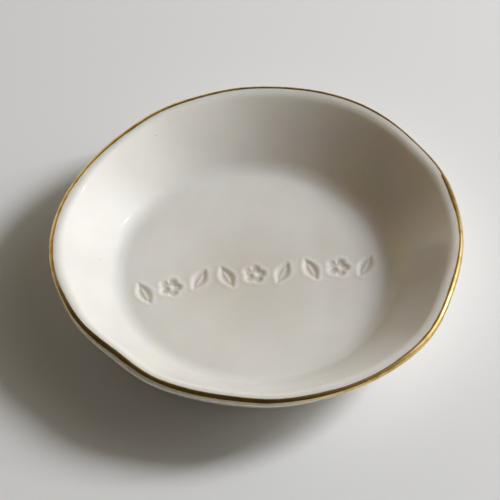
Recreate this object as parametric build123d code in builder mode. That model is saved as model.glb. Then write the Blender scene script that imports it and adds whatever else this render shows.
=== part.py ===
from build123d import *
from math import cos, radians, sin
import os

# A small hand-formed ring dish: glazed porcelain with a pinched, uneven lip, and a gold lustre line brushed
# along that lip and fired on. Nothing on it moves.
# Frame: the foot stands on Z = 0 with its centre at the origin, and -Y is the side nearest the viewer.

# Outside of the finished dish. The rim's plan and height wander about these two, as the tables below say.
rim_diameter = 80 * MM
rim_height = 13.75 * MM

# The porcelain, with the thin glaze that is fused to it
floor_diameter = 50 * MM  # the flat of the inside
floor_thickness = 3 * MM
floor_corner_radius = 2.8 * MM  # the hollow corner between the floor and the wall
floor_corner_turn = 32  # degrees, where the corner hands over to the wall
foot_setback = 0.8 * MM  # how far the foot stands outside the flat of the floor
foot_edge_radius = 2.2 * MM
foot_edge_turn = 34  # degrees
lip_edge_radius = 0.9 * MM  # the tight round outside, that the brush ran along
lip_inside_radius = 2.3 * MM  # the easy round from there down into the dish
outer_slope = 60  # degrees, how steeply the wall meets the lip outside
inner_slope = 68  # and inside

# The gold on the lip
lustre_thickness = 0.12 * MM
lustre_sink = 0.1 * MM  # how far its form runs under the glaze where there is no gold

# The pinched rim: the share of the nominal radius at equal steps round the dish, from +X towards +Y.
rim_plan_shares = (
    1.005, 1.015, 1.030, 1.030, 1.045, 1.055, 1.050, 1.040, 1.030, 1.010,
    0.995, 0.975, 0.970, 0.975, 0.985, 0.995, 0.995, 0.985, 0.980, 0.965,
    0.980, 0.975, 0.975, 0.990, 0.990, 0.995, 1.005, 1.010, 0.995, 0.995,
)
rim_tilt_share = 0.04  # of the rim's height, highest at rim_tilt_angle
rim_tilt_angle = 50
rim_ripple_share = 0.01
rim_ripples = 5
rim_ripple_angle = 60
pinch_fade = 1.4  # how fast the pinching dies away from the rim down to the floor

# Worked out
lip_reach = rim_diameter / 2 - lustre_thickness
lip_top = rim_height - lustre_thickness
lip_crest = lip_reach - lip_edge_radius  # where the two rounds meet
floor_radius = floor_diameter / 2
foot_radius = floor_radius + foot_setback
outward = (1, 0)
full_turn = 360
half_turn = full_turn / 2
right_angle = half_turn / 2

# Half section of the porcelain, from the foot's edge over the lip and down to the floor
with BuildLine(Plane.XZ) as half_section:
    foot_edge = JernArc((foot_radius, 0), outward, foot_edge_radius, foot_edge_turn)
    edge_centre = (lip_crest, lip_top - lip_edge_radius)
    lip_edge = CenterArc(edge_centre, lip_edge_radius, outer_slope - right_angle, half_turn - outer_slope)
    inside_centre = (lip_crest, lip_top - lip_inside_radius)
    lip_inside = CenterArc(inside_centre, lip_inside_radius, right_angle, inner_slope)
    outer_wall = Spline(foot_edge @ 1, lip_edge @ 0, tangents=(foot_edge % 1, lip_edge % 0))
    floor_corner = JernArc((floor_radius, floor_thickness), outward, floor_corner_radius, floor_corner_turn)
    inner_wall = Spline(lip_inside @ 1, floor_corner @ 1, tangents=(lip_inside % 1, -(floor_corner % 1)))


# A station is a point of the half section with the direction straight out of the porcelain there.
def stations(curve, shares, along=1):
    return [(curve @ share, Vector(0, 1, 0).cross(curve % share) * along) for share in shares]


def even_shares(steps):
    return [step / steps for step in range(steps + 1)]


lip_edge_steps = 7
lip_inside_steps = 4
wall_steps = 6
corner_steps = 4
outer_stations = stations(foot_edge, even_shares(corner_steps)[:-1]) + stations(
    outer_wall, even_shares(wall_steps)[:-1]
)
lip_stations = stations(lip_edge, even_shares(lip_edge_steps))
inner_stations = (
    stations(lip_inside, even_shares(lip_inside_steps)[1:])
    + stations(inner_wall, even_shares(wall_steps)[1:-1])
    + stations(floor_corner, even_shares(corner_steps)[::-1], along=-1)
)
gilded_steps = range(1, 7)  # of the lip's edge, counted up from its outer side


# One loop round the dish through a station, lifted off the glaze and pinched as the rim is.
def pinched_loop(station, lift):
    point, normal = station
    fade = (max(point.Z - floor_thickness, 0) / (lip_top - floor_thickness)) ** pinch_fade
    spot = point + normal * lift
    places = []
    for step, share in enumerate(rim_plan_shares):
        angle = full_turn * step / len(rim_plan_shares)
        tilt = rim_tilt_share * cos(radians(angle - rim_tilt_angle))
        ripple = rim_ripple_share * cos(radians(rim_ripples * angle + rim_ripple_angle))
        radius = spot.X + fade * (share - 1) * rim_diameter / 2
        height = spot.Z + fade * (tilt + ripple) * rim_height
        places.append((radius * cos(radians(angle)), radius * sin(radians(angle)), height))
    return Wire([Edge.make_spline(places, periodic=True, parameters=range(len(places) + 1))])


# The whole dish, foot to floor over the lip, with one lift for all of it and another for the gilded steps
def dish_form(lift=0, gilded_lift=0):
    loops = [pinched_loop(station, lift) for station in outer_stations]
    for step, station in enumerate(lip_stations):
        loops.append(pinched_loop(station, gilded_lift if step in gilded_steps else lift))
    loops += [pinched_loop(station, lift) for station in inner_stations]
    return Solid.make_loft(loops, ruled=True)


with BuildPart() as porcelain_dish:
    add(dish_form())

# The gold lies on the glaze, only where its form rises out of it.
with BuildPart() as gold_rim:
    add(dish_form(-lustre_sink, lustre_thickness))
    add(porcelain_dish.part, mode=Mode.SUBTRACT)

porcelain_dish.part.label = "porcelain_dish"
gold_rim.part.label = "gold_rim"

os.makedirs("parts", exist_ok=True)
export_step(porcelain_dish.part, "parts/porcelain_dish.step")
export_step(gold_rim.part, "parts/gold_rim.step")
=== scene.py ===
from math import atan2, cos, exp, hypot, pi, radians, sin

import bpy
import numpy as np
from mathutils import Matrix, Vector, noise
from mathutils.geometry import interpolate_bezier


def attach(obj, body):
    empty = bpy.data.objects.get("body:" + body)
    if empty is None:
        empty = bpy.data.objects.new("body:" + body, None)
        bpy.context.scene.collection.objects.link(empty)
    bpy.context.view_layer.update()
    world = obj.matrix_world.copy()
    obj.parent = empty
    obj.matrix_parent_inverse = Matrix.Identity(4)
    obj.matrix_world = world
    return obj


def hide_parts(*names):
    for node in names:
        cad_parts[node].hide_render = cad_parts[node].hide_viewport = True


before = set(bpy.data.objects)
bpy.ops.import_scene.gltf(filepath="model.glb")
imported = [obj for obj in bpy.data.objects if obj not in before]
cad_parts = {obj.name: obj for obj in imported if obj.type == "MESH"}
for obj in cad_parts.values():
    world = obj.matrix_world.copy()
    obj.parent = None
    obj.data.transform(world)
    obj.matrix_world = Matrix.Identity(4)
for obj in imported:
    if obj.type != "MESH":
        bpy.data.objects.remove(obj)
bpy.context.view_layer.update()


# The porcelain dish. A slab of clay was pressed into a shallow mould, its wall drawn up, and its lip rounded
# and pinched wavy between finger and thumb while it was soft. It is glazed all over, except for the foot that
# it was fired on.
mm = 0.001
rim_diameter = 80 * mm  # over the gold
rim_height = 13.75 * mm
gold_allowance = 0.12 * mm  # how far the porcelain stands inside both
lip_edge_radius = 0.9 * mm  # the lip's tight round outside
lip_inside_radius = 2.8 * mm  # and its easy round inside
outer_slope = radians(60)  # how steeply the wall meets the lip
inner_slope = radians(46)
floor_radius = 25 * mm
floor_height = 3 * mm
corner_radius = 5.2 * mm  # between the floor and the wall
corner_turn = radians(44)
corner_setback = 0.2 * mm
foot_radius = 25.8 * mm
foot_edge_radius = 2.2 * mm
foot_edge_turn = radians(34)
low_pull_share, high_pull_share = 0.34, 0.36  # how stiffly the wall leaves its two ends
round_steps, lip_steps, corner_steps, foot_edge_steps = 256, 12, 10, 5
inner_wall_steps, outer_wall_steps = 16, 21

rim_radius = rim_diameter / 2 - gold_allowance
lip_top = rim_height - gold_allowance
lip_crest = rim_radius - lip_edge_radius  # where the two rounds meet


def arc_points(centre, radius, start, end, steps):
    turns = [start + (end - start) * step / steps for step in range(steps + 1)]
    return [Vector((centre[0] + radius * cos(turn), centre[1] + radius * sin(turn))) for turn in turns]


def wall_points(low, low_turn, high, high_turn, steps):
    gap = (high - low).length
    low_handle = low + Vector((cos(low_turn), sin(low_turn))) * gap * low_pull_share
    high_handle = high - Vector((cos(high_turn), sin(high_turn))) * gap * high_pull_share
    return interpolate_bezier(low, low_handle, high_handle, high, steps)


# Its half section, from the floor up the inside, over the lip and down to the foot
inside_centre = (lip_crest, lip_top - lip_inside_radius)
edge_centre = (lip_crest, lip_top - lip_edge_radius)
corner_centre = (floor_radius + corner_setback, floor_height + corner_radius)
foot_centre = (foot_radius, foot_edge_radius)
lip_inside = arc_points(inside_centre, lip_inside_radius, pi / 2 + inner_slope, pi / 2, lip_steps)
lip_edge = arc_points(edge_centre, lip_edge_radius, pi / 2, outer_slope - pi / 2, lip_steps)
corner = arc_points(corner_centre, corner_radius, -pi / 2, corner_turn - pi / 2, corner_steps)
foot_edge = arc_points(foot_centre, foot_edge_radius, foot_edge_turn - pi / 2, -pi / 2, foot_edge_steps)
inner_wall = wall_points(corner[-1], corner_turn, lip_inside[0], inner_slope, inner_wall_steps)
outer_wall = wall_points(foot_edge[0], foot_edge_turn, lip_edge[-1], outer_slope, outer_wall_steps)[::-1]

# The glaze was wiped off the foot: it ends in a soft edge a little way up, and the bare clay stands back
# from it.
glaze_end = 1.1 * mm
glaze_thickness = 0.14 * mm
glaze_edge_shares = ((0.4, 0.2), (0.8, 0.6), (1.1, 1.2), (1.6, 1.4))  # in and down, of the thickness
glazed_wall = [place for place in outer_wall if place.y > glaze_end]
glaze_foot = glazed_wall[-1]
glaze_edge = [glaze_foot - Vector(shares) * glaze_thickness for shares in glaze_edge_shares]
bare_wall = [place for place in outer_wall if place.y <= glaze_end] + foot_edge[1:]
bare_wall = [place - Vector((glaze_thickness, 0)) for place in bare_wall]
section = corner + inner_wall[1:] + lip_inside[1:] + lip_edge[1:] + glazed_wall[1:] + glaze_edge + bare_wall

# How far in or out of its mean circle the rim stands, in equal steps round the dish from +X
rim_shares = (
    1.005, 1.015, 1.030, 1.030, 1.045, 1.055, 1.050, 1.040, 1.030, 1.010,
    0.995, 0.975, 0.970, 0.975, 0.985, 0.995, 0.995, 0.985, 0.980, 0.965,
    0.980, 0.975, 0.975, 0.990, 0.990, 0.995, 1.005, 1.010, 0.995, 0.995,
)
rim_tilt_share, rim_tilt_turn = 0.04, radians(50)  # of the rim's height, and where it is highest
rim_ripple_share, rim_ripples, rim_ripple_turn = 0.01, 5, radians(60)
pinch_fade = 1.4  # how fast the pinching dies away from the rim down to the floor


def smooth_loop(values):
    """Control values of the smooth closed curve that runs through all the values."""
    count = len(values)
    spectrum = np.fft.rfft(values)
    smoothing = (4 + 2 * np.cos(2 * np.pi * np.arange(len(spectrum)) / count)) / 6
    return np.fft.irfft(spectrum / smoothing, count)


rim_controls = smooth_loop(rim_shares)


def along_loop(controls, turn):
    """The smooth loop's value at a turn round the dish from +X."""
    place = turn / (2 * pi) * len(controls)
    step = int(place // 1)
    u = place - step
    weights = ((1 - u) ** 3, 3 * u ** 3 - 6 * u ** 2 + 4, -3 * u ** 3 + 3 * u ** 2 + 3 * u + 1, u ** 3)
    nearby = [float(controls[(step + k - 1) % len(controls)]) for k in range(len(weights))]
    return sum(weight * control for weight, control in zip(weights, nearby)) / 6


def pinched(co):
    """Where a point of the evenly round dish goes when the rim is pinched."""
    fade = (max(co.z - floor_height, 0) / (lip_top - floor_height)) ** pinch_fade
    turn = atan2(co.y, co.x) % (2 * pi)
    radius = hypot(co.x, co.y) + fade * (along_loop(rim_controls, turn) - 1) * rim_diameter / 2
    tilt = rim_tilt_share * cos(turn - rim_tilt_turn)
    ripple = rim_ripple_share * cos(rim_ripples * turn + rim_ripple_turn)
    return Vector((radius * cos(turn), radius * sin(turn), co.z + fade * (tilt + ripple) * rim_height))


bpy.ops.object.select_all(action="DESELECT")
bpy.ops.mesh.primitive_circle_add(vertices=round_steps, radius=section[0].x, location=(0, 0, section[0].y))
dish = bpy.context.object
dish.name = "porcelain_dish_glazed"
bpy.ops.object.transform_apply(location=True, rotation=True, scale=True)
bpy.ops.object.mode_set(mode="EDIT")
for here, there in zip(section, section[1:]):
    bpy.ops.mesh.extrude_region_move(TRANSFORM_OT_translate={"value": (0, 0, there.y - here.y)})
    bpy.ops.transform.resize(value=(there.x / here.x, there.x / here.x, 1), center_override=(0, 0, 0))
bpy.ops.mesh.fill_grid(span=round_steps // 4)
bpy.ops.object.mode_set(mode="OBJECT")
for v in dish.data.vertices:
    v.co = pinched(v.co)
bpy.ops.object.mode_set(mode="EDIT")
bpy.ops.mesh.select_mode(type="EDGE")
bpy.ops.mesh.select_all(action="DESELECT")
bpy.ops.mesh.select_non_manifold()  # the one open loop, round the flat of the floor
bpy.ops.mesh.fill_grid(span=round_steps // 4)
bpy.ops.mesh.select_mode(type="FACE")
bpy.ops.object.mode_set(mode="OBJECT")


# The row of marks across the floor. Small carved stamps, a leaf and a blossom, were pressed one by one into
# the soft clay along a line that wanders a little, and the glaze has since softened their edges.
row_marks = (  # mm across and up the floor, degrees turned, kind
    (-21.6, -6.2, 28, "leaf"), (-16.6, -4.6, 4, "blossom"), (-11.0, -2.4, -24, "leaf"),
    (-5.6, -1.6, 26, "leaf"), (-0.2, -0.9, 10, "blossom"), (5.4, -0.4, -22, "leaf"),
    (11.0, 0.4, 24, "leaf"), (16.4, 0.9, 0, "blossom"), (21.8, 1.3, -26, "leaf"),
)
row_middle, row_climb = -1.6 * mm, 0.17  # where it passes the floor's middle, and its climb to the right
row_half_width = 4.2 * mm
row_margin = 0.4 * mm  # from the row's ends to the edge of the floor
row_cuts = 5  # how finely the floor's mesh is cut there
flat_tolerance = 0.001 * mm  # from the floor's height, to count as its flat
stamp_depth = 0.32 * mm
swell_height = 0.07 * mm  # the clay that a stamp pushed up round itself

# The stamps' own sizes are in mm, along their own upright axes, u across and w up.
stamp_reach = 3.6  # from a stamp's middle to where it no longer tells
leaf_width, leaf_length, leaf_fullness = 2.2, 5, 1.8
vein_share, vein_width, vein_length = 0.35, 0.26, 1.7  # the vein stands up by a share of the depth
blossom_radius, blossom_eye, petals = 2, 0.5, 5
notch_share, petal_roundness = 0.34, 0.7  # how deep the notches between the petals go, and how narrow
edge_softness = 1.05
swell_offset, swell_width = 0.75, 0.45  # from the stamp's edge


def leaf_inset(u, w):
    """How far inside the leaf stamp's edge a place is, negative outside."""
    along = abs(w) / (leaf_length / 2)
    if along < 1:
        return leaf_width / 2 * (1 - along ** leaf_fullness) - abs(u)
    return -hypot(u, abs(w) - leaf_length / 2)


def blossom_inset(u, w):
    """How far inside the blossom stamp's edge a place is, negative outside and in its eye."""
    lobe = abs(cos(petals / 2 * atan2(w, u))) ** petal_roundness
    petal = blossom_radius * (1 - notch_share + notch_share * lobe)
    reach = hypot(u, w)
    return min(petal - reach, reach - blossom_eye)


def press(inset):
    """Share of the full depth at an inset, soft because the glaze filled the edge."""
    share = min(max(inset / edge_softness + 0.5, 0), 1)
    return share * share * (3 - 2 * share)


bpy.ops.object.mode_set(mode="EDIT")
bpy.ops.mesh.select_all(action="DESELECT")
bpy.ops.object.mode_set(mode="OBJECT")
for face in dish.data.polygons:
    spot = face.center
    on_flat = abs(spot.z - floor_height) < flat_tolerance
    in_row = abs(spot.y - (row_middle + row_climb * spot.x)) < row_half_width
    face.select = on_flat and in_row and hypot(spot.x, spot.y) < floor_radius - row_margin
bpy.ops.object.mode_set(mode="EDIT")
bpy.ops.mesh.subdivide(number_cuts=row_cuts)
bpy.ops.object.mode_set(mode="OBJECT")
for v in dish.data.vertices:
    off_flat = abs(v.co.z - floor_height) > flat_tolerance
    if off_flat or hypot(v.co.x, v.co.y) > floor_radius - row_margin / 2:
        continue
    for across, up, turned, kind in row_marks:
        dx, dy = v.co.x / mm - across, v.co.y / mm - up
        if hypot(dx, dy) > stamp_reach:
            continue
        lean = radians(turned)
        u, w = dx * cos(lean) + dy * sin(lean), dy * cos(lean) - dx * sin(lean)
        inset = leaf_inset(u, w) if kind == "leaf" else blossom_inset(u, w)
        vein = vein_share * exp(-(u / vein_width) ** 2 - (w / vein_length) ** 6) if kind == "leaf" else 0
        swell = swell_height * exp(-((inset + swell_offset) / swell_width) ** 2)
        v.co.z += swell - stamp_depth * press(inset) * (1 - vein)

# The clay is nowhere quite even: the floor sags a little and wanders up and down, and the wall in and out.
floor_sag = 0.3 * mm  # in the middle of the floor
hollows_per_metre, hollow_depth = 80, 0.11 * mm
dents_per_metre, dent_depth = 230, 0.025 * mm
wall_share = 0.5  # how uneven the wall is beside the floor
turnover_height = 3 * mm  # up the wall, where wandering up and down has given way to in and out
mid_wall_offset = 1 * mm  # from the floor's radius; the middle of the wall leans out from there at 45 degrees


def uneven(co):
    """How far the hand-made surface is off true at a place."""
    hollow = noise.noise(co * hollows_per_metre) * hollow_depth
    return hollow + noise.noise(co * dents_per_metre) * dent_depth


for v in dish.data.vertices:
    if v.co.z < glaze_end:
        continue
    reach = hypot(v.co.x, v.co.y)
    on_wall = 1
    if reach < floor_radius + mid_wall_offset + v.co.z:  # the inside of the dish
        on_wall = min(max((v.co.z - floor_height) / turnover_height, 0), 1)
        v.co.z -= floor_sag * max(1 - (reach / floor_radius) ** 2, 0) ** 2
    outwards = Vector((v.co.x, v.co.y, 0)).normalized()
    v.co += uneven(v.co) * (Vector((0, 0, 1 - on_wall)) + wall_share * on_wall * outwards)

bpy.ops.object.mode_set(mode="EDIT")
bpy.ops.mesh.select_all(action="SELECT")
bpy.ops.mesh.normals_make_consistent(inside=False)
bpy.ops.object.mode_set(mode="OBJECT")
bpy.ops.object.shade_smooth()


def new_finish(name):
    """A new material, with its node tree and the shader that the tree feeds."""
    finish = bpy.data.materials.new(name)
    finish.use_nodes = True
    return finish, finish.node_tree, finish.node_tree.nodes["Principled BSDF"]


def layer(tree, kind, settings=None, feeds=None, **options):
    """One more node in a tree, with some of its sockets set and others fed by earlier nodes."""
    node = tree.nodes.new("ShaderNode" + kind)
    for name, value in options.items():
        setattr(node, name, value)
    for name, value in (settings or {}).items():
        node.inputs[name].default_value = value
    for name, source in (feeds or {}).items():
        tree.links.new(source, node.inputs[name])
    return node


def two_tone(tree, pattern, low, low_colour, high, high_colour):
    """A colour that runs from one tone to another as a pattern goes from low to high."""
    tones = layer(tree, "ValToRGB", feeds={"Fac": pattern})
    for tone, place, colour in zip(tones.color_ramp.elements, (low, high), (low_colour, high_colour)):
        tone.position = place
        tone.color = (*colour, 1)
    return tones.outputs["Color"]


def stain_and_shade_over(tree, amount, clean, top_colour):
    """A clean colour with another laid over it, by an amount from 0 to 1, for real stains and for painted
    shade.
    """
    feeds = {"Factor": amount, "A": clean}
    return layer(tree, "Mix", {"B": (*top_colour, 1)}, feeds, data_type="RGBA").outputs["Result"]


# The glazed body, a warm white with faint clouds in it
porcelain, tree, shader = new_finish("glazed_porcelain")
shader.inputs["Roughness"].default_value = 0.45
shader.inputs["Subsurface Weight"].default_value = 0.6
shader.inputs["Subsurface Radius"].default_value = (1.0, 0.78, 0.46)
shader.inputs["Subsurface Scale"].default_value = 3 * mm
shader.inputs["Coat Weight"].default_value = 1.0
shader.inputs["Coat Roughness"].default_value = 0.07
shader.inputs["Coat IOR"].default_value = 1.5
where = layer(tree, "TexCoord").outputs["Object"]
clouds = layer(tree, "TexNoise", {"Scale": 110, "Detail": 3}, {"Vector": where}).outputs["Fac"]
body_white = two_tone(tree, clouds, 0.3, (0.765, 0.738, 0.675), 0.7, (0.805, 0.785, 0.732))

# The glaze lies deeper in the stamped marks. Their colour is painted darker and greyer there, as shade in the
# recesses. It follows the height, so wherever the floor lies low is darkened too, its sagging middle as well.
height = layer(tree, "SeparateXYZ", feeds={"Vector": where}).outputs["Z"]
recess_shade_top = floor_height - 0.06 * mm
recess_shade_levels = {"From Min": recess_shade_top, "From Max": floor_height - stamp_depth, "To Max": 0.5}
recess_shade = layer(tree, "MapRange", recess_shade_levels, {"Value": height}).outputs["Result"]
# Painted shade: darker and greyer the lower the floor lies.
recess_shaded_white = stain_and_shade_over(tree, recess_shade, body_white, (0.64, 0.58, 0.49))

# A few specks of iron show under it.
iron = layer(tree, "TexVoronoi", {"Scale": 160, "Randomness": 1.0}, {"Vector": where}).outputs["Distance"]
speck_levels = {"From Min": 0.035, "From Max": 0.015, "To Max": 0.55}
specks = layer(tree, "MapRange", speck_levels, {"Value": iron}, interpolation_type="SMOOTHSTEP")
speckled = stain_and_shade_over(tree, specks.outputs["Result"], recess_shaded_white, (0.30, 0.24, 0.16))
tree.links.new(speckled, shader.inputs["Base Color"])

# Its own surface has a faint orange peel.
peel = layer(tree, "TexNoise", {"Scale": 700, "Detail": 1}, {"Vector": where}).outputs["Fac"]
skin = layer(tree, "Bump", {"Strength": 0.25, "Distance": 0.03 * mm}, {"Height": peel})
tree.links.new(skin.outputs["Normal"], shader.inputs["Coat Normal"])
dish.data.materials.append(porcelain)

# The bare clay of the foot is dry and fine-grained.
biscuit, tree, shader = new_finish("bare_porcelain")
shader.inputs["Roughness"].default_value = 0.85
where = layer(tree, "TexCoord").outputs["Object"]
grain = layer(tree, "TexNoise", {"Scale": 2500, "Detail": 4}, {"Vector": where}).outputs["Fac"]
clay_white = two_tone(tree, grain, 0, (0.60, 0.565, 0.50), 1, (0.76, 0.73, 0.67))
tree.links.new(clay_white, shader.inputs["Base Color"])
tooth = layer(tree, "Bump", {"Strength": 0.5, "Distance": 0.04 * mm}, {"Height": grain})
tree.links.new(tooth.outputs["Normal"], shader.inputs["Normal"])
dish.data.materials.append(biscuit)
for face in dish.data.polygons:
    if face.center.z < glaze_foot.y - glaze_thickness:
        face.material_index = 1

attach(dish, "root")
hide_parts("porcelain_dish")


# The gold line. Bright gold lustre, painted round the lip with a fine brush after the glaze firing and fired
# on as a film, so that its edges wander and it is broad where the brush was full.
lustre_lift = 0.07 * mm
lustre_edge_sink = 0.02 * mm
lustre_sink = 0.12 * mm  # how deep in the porcelain its underside runs
lustre_round = (  # mm down the lip from its crest, outside and then inside, in equal steps from +X
    (1.40, 0.12), (1.40, 0.26), (1.20, -0.02), (1.10, 0.10), (1.10, 0.28), (1.10, 0.32),
    (1.10, 0.30), (1.15, 0.34), (1.20, 0.40), (1.20, 0.38), (1.30, 0.25), (1.35, 0.12),
    (1.45, 0.10), (1.50, -0.12), (1.05, 0.05), (0.85, 0.34), (0.65, 0.40), (0.95, 0.16),
    (1.00, 0.12), (1.20, -0.05), (2.40, -0.25), (2.00, 0.10), (1.60, 0.15), (1.30, 0.18),
)
stroke_start, stroke_growth = radians(6), radians(8)  # where the line grows broader
stroke_end = radians(23.6)  # and where the brush lifted
stroke_width = 0.25  # mm more than elsewhere
slow_stray, quick_stray = 0.06, 0.04  # mm that each edge wanders
slow_waves, outside_waves, inside_waves = 9, 26, 30
inside_shift = Vector((0, 0, 5))  # so that the two edges stray differently
lustre_steps, across_steps, under_steps = 640, 8, 2
ring_height = 1 * mm  # tells the rings of the mesh apart until they are laid on the lip

lustre_outside = smooth_loop([outside for outside, inside in lustre_round])
lustre_inside = smooth_loop([inside for outside, inside in lustre_round])


def lip_place(reach):
    """A place on the lip, at a reach from its crest, outside positive, and the way straight out there."""
    radius = lip_edge_radius if reach > 0 else lip_inside_radius
    lean = min(reach / radius, pi - outer_slope)
    out = Vector((sin(lean), cos(lean)))
    down_wall = (reach - lean * radius) * Vector((out.y, -out.x))
    return Vector((lip_crest, lip_top - radius)) + radius * out + down_wall, out


def strayed(brush, waves, shift=Vector((0, 0, 0))):
    """How many mm an edge of the line strayed where the brush was, slowly and in quick waves."""
    slowly = slow_stray * noise.noise(brush * slow_waves + shift)
    return slowly + quick_stray * noise.noise(brush * waves + shift)


bpy.ops.object.select_all(action="DESELECT")
bpy.ops.mesh.primitive_circle_add(vertices=lustre_steps, radius=rim_radius)
gold = bpy.context.object
gold.name = "gold_line"
bpy.ops.object.mode_set(mode="EDIT")
bpy.ops.mesh.select_mode(type="EDGE")
bpy.ops.mesh.select_all(action="SELECT")
for step in range(across_steps + under_steps):
    bpy.ops.mesh.extrude_region_move(TRANSFORM_OT_translate={"value": (0, 0, ring_height)})
bpy.ops.object.mode_set(mode="OBJECT")
for v in gold.data.vertices:
    ring = round(v.co.z / ring_height)
    turn = atan2(v.co.y, v.co.x) % (2 * pi)
    brush = Vector((cos(turn), sin(turn), 0))
    outside = along_loop(lustre_outside, turn) + strayed(brush, outside_waves)
    inside = strayed(brush, inside_waves, inside_shift) - along_loop(lustre_inside, turn)
    if turn < stroke_end:
        inside -= stroke_width * min(max((turn - stroke_start) / stroke_growth, 0), 1)
    if ring <= across_steps:
        share = ring / across_steps
        lift = lustre_lift * sin(pi * share) ** 0.5 if 0 < share < 1 else -lustre_edge_sink
    else:
        share = (across_steps + under_steps + 0.5 - ring) / (under_steps + 1)
        lift = -lustre_sink
    spot, out = lip_place((outside + (inside - outside) * share) * mm)
    place = pinched(Vector((spot.x * brush.x, spot.x * brush.y, spot.y)))
    place += brush * uneven(place) * wall_share
    v.co = place + lift * (brush * out.x + Vector((0, 0, out.y)))
bpy.ops.object.mode_set(mode="EDIT")
bpy.ops.mesh.select_all(action="DESELECT")
bpy.ops.mesh.select_non_manifold()
bpy.ops.mesh.bridge_edge_loops()
bpy.ops.mesh.select_all(action="SELECT")
bpy.ops.mesh.normals_make_consistent(inside=False)
bpy.ops.mesh.select_mode(type="FACE")
bpy.ops.object.mode_set(mode="OBJECT")
bpy.ops.object.shade_smooth()

# The film is thinner, browner and duller in places.
lustre, tree, shader = new_finish("gold_lustre")
shader.inputs["Metallic"].default_value = 1.0
where = layer(tree, "TexCoord").outputs["Object"]
strokes = layer(tree, "TexNoise", {"Scale": 420, "Detail": 4}, {"Vector": where}).outputs["Fac"]
film = two_tone(tree, strokes, 0.32, (0.58, 0.375, 0.125), 0.58, (0.85, 0.635, 0.285))
tree.links.new(film, shader.inputs["Base Color"])
dulled = layer(tree, "MapRange", {"To Min": 0.26, "To Max": 0.1}, {"Value": strokes})
tree.links.new(dulled.outputs["Result"], shader.inputs["Roughness"])
gold.data.materials.append(lustre)
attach(gold, "root")
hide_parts("gold_rim")


# The stage. The dish stands on a pale table top of dull plaster paint, in the light of a room beside a
# window, and the camera stands where the photograph was taken from.
bpy.ops.mesh.primitive_plane_add(size=6, location=(0, 0, 0))
table = bpy.context.object
table.name = "table_top"
plaster, tree, shader = new_finish("pale_table")
shader.inputs["Base Color"].default_value = (0.82, 0.81, 0.79, 1)
shader.inputs["Roughness"].default_value = 0.9
table.data.materials.append(plaster)


def soft_light(name, place, size, power, colour, glossy=True):
    lamp = bpy.data.lights.new(name, "AREA")
    lamp.shape = "DISK"
    lamp.size = size
    lamp.energy = power
    lamp.color = colour
    holder = bpy.data.objects.new(name, lamp)
    holder.location = place
    holder.rotation_euler = (-Vector(place)).to_track_quat("-Z", "Y").to_euler()
    holder.visible_glossy = glossy
    bpy.context.scene.collection.objects.link(holder)


# The key lamp, as white as daylight, is left out of reflections, where it would make a white patch in the
# glaze. The small one sets the glints.
soft_light("key", (0.70, 0.225, 0.52), size=0.25, power=7.1, colour=(0.89, 0.92, 0.985), glossy=False)
soft_light("sparkle", (0.82, 0.22, 0.375), size=0.02, power=0.7, colour=(0.97, 0.98, 1))

world = bpy.data.worlds.new("pale_room")
bpy.context.scene.world = world
world.use_nodes = True
tree = world.node_tree
around = layer(tree, "TexCoord").outputs["Generated"]


def glow(way, start, end, dim, bright, colour):
    """Light that grows from dim to bright towards a way, between two cosines of the angle from it."""
    side = layer(tree, "VectorMath", {1: Vector(way).normalized()}, {0: around}, operation="DOT_PRODUCT")
    levels = {"From Min": start, "From Max": end, "To Min": dim, "To Max": bright}
    level = layer(tree, "MapRange", levels, {"Value": side.outputs["Value"]}, interpolation_type="SMOOTHSTEP")
    feeds = {"Strength": level.outputs["Result"]}
    return layer(tree, "Background", {"Color": (*colour, 1)}, feeds).outputs["Background"]


def added(first, second):
    return layer(tree, "AddShader", feeds={0: first, 1: second}).outputs["Shader"]


# The room: a window's white light from the right, and the warm, dim light of the room itself, which comes
# mostly from the window's side and a little from the far left, and hardly at all from behind the camera. Low
# down, a pale wall goes all round.
window = glow((0.83, 0.27, 0.48), start=0.84, end=1, dim=0, bright=1.4, colour=(0.84, 0.89, 0.94))
near_window = glow((0.90, 0.35, 0.25), start=0.25, end=1, dim=0.04, bright=0.5, colour=(0.98, 0.87, 0.70))
far_left = glow((-0.50, 0.85, 0.12), start=0.65, end=1, dim=0, bright=0.6, colour=(0.98, 0.84, 0.62))
pale_wall = glow((0, 0, 1), start=0.16, end=0.10, dim=0, bright=0.3, colour=(0.97, 0.96, 0.94))
room = added(added(window, near_window), added(far_left, pale_wall))
tree.links.new(room, tree.nodes["World Output"].inputs["Surface"])

camera = bpy.data.cameras.new("photo_view")
camera.lens = 114.9
camera.sensor_width = 36
camera.clip_start = 0.01
tripod = bpy.data.objects.new("photo_view", camera)
tripod.location = (0.0009, -0.20199, 0.24513)
aim = Vector((-0.0011, 0.0077, 0)) - tripod.location
tripod.rotation_euler = aim.to_track_quat("-Z", "Y").to_euler()
bpy.context.scene.collection.objects.link(tripod)
bpy.context.scene.camera = tripod
bpy.context.scene.view_settings.view_transform = "Standard"
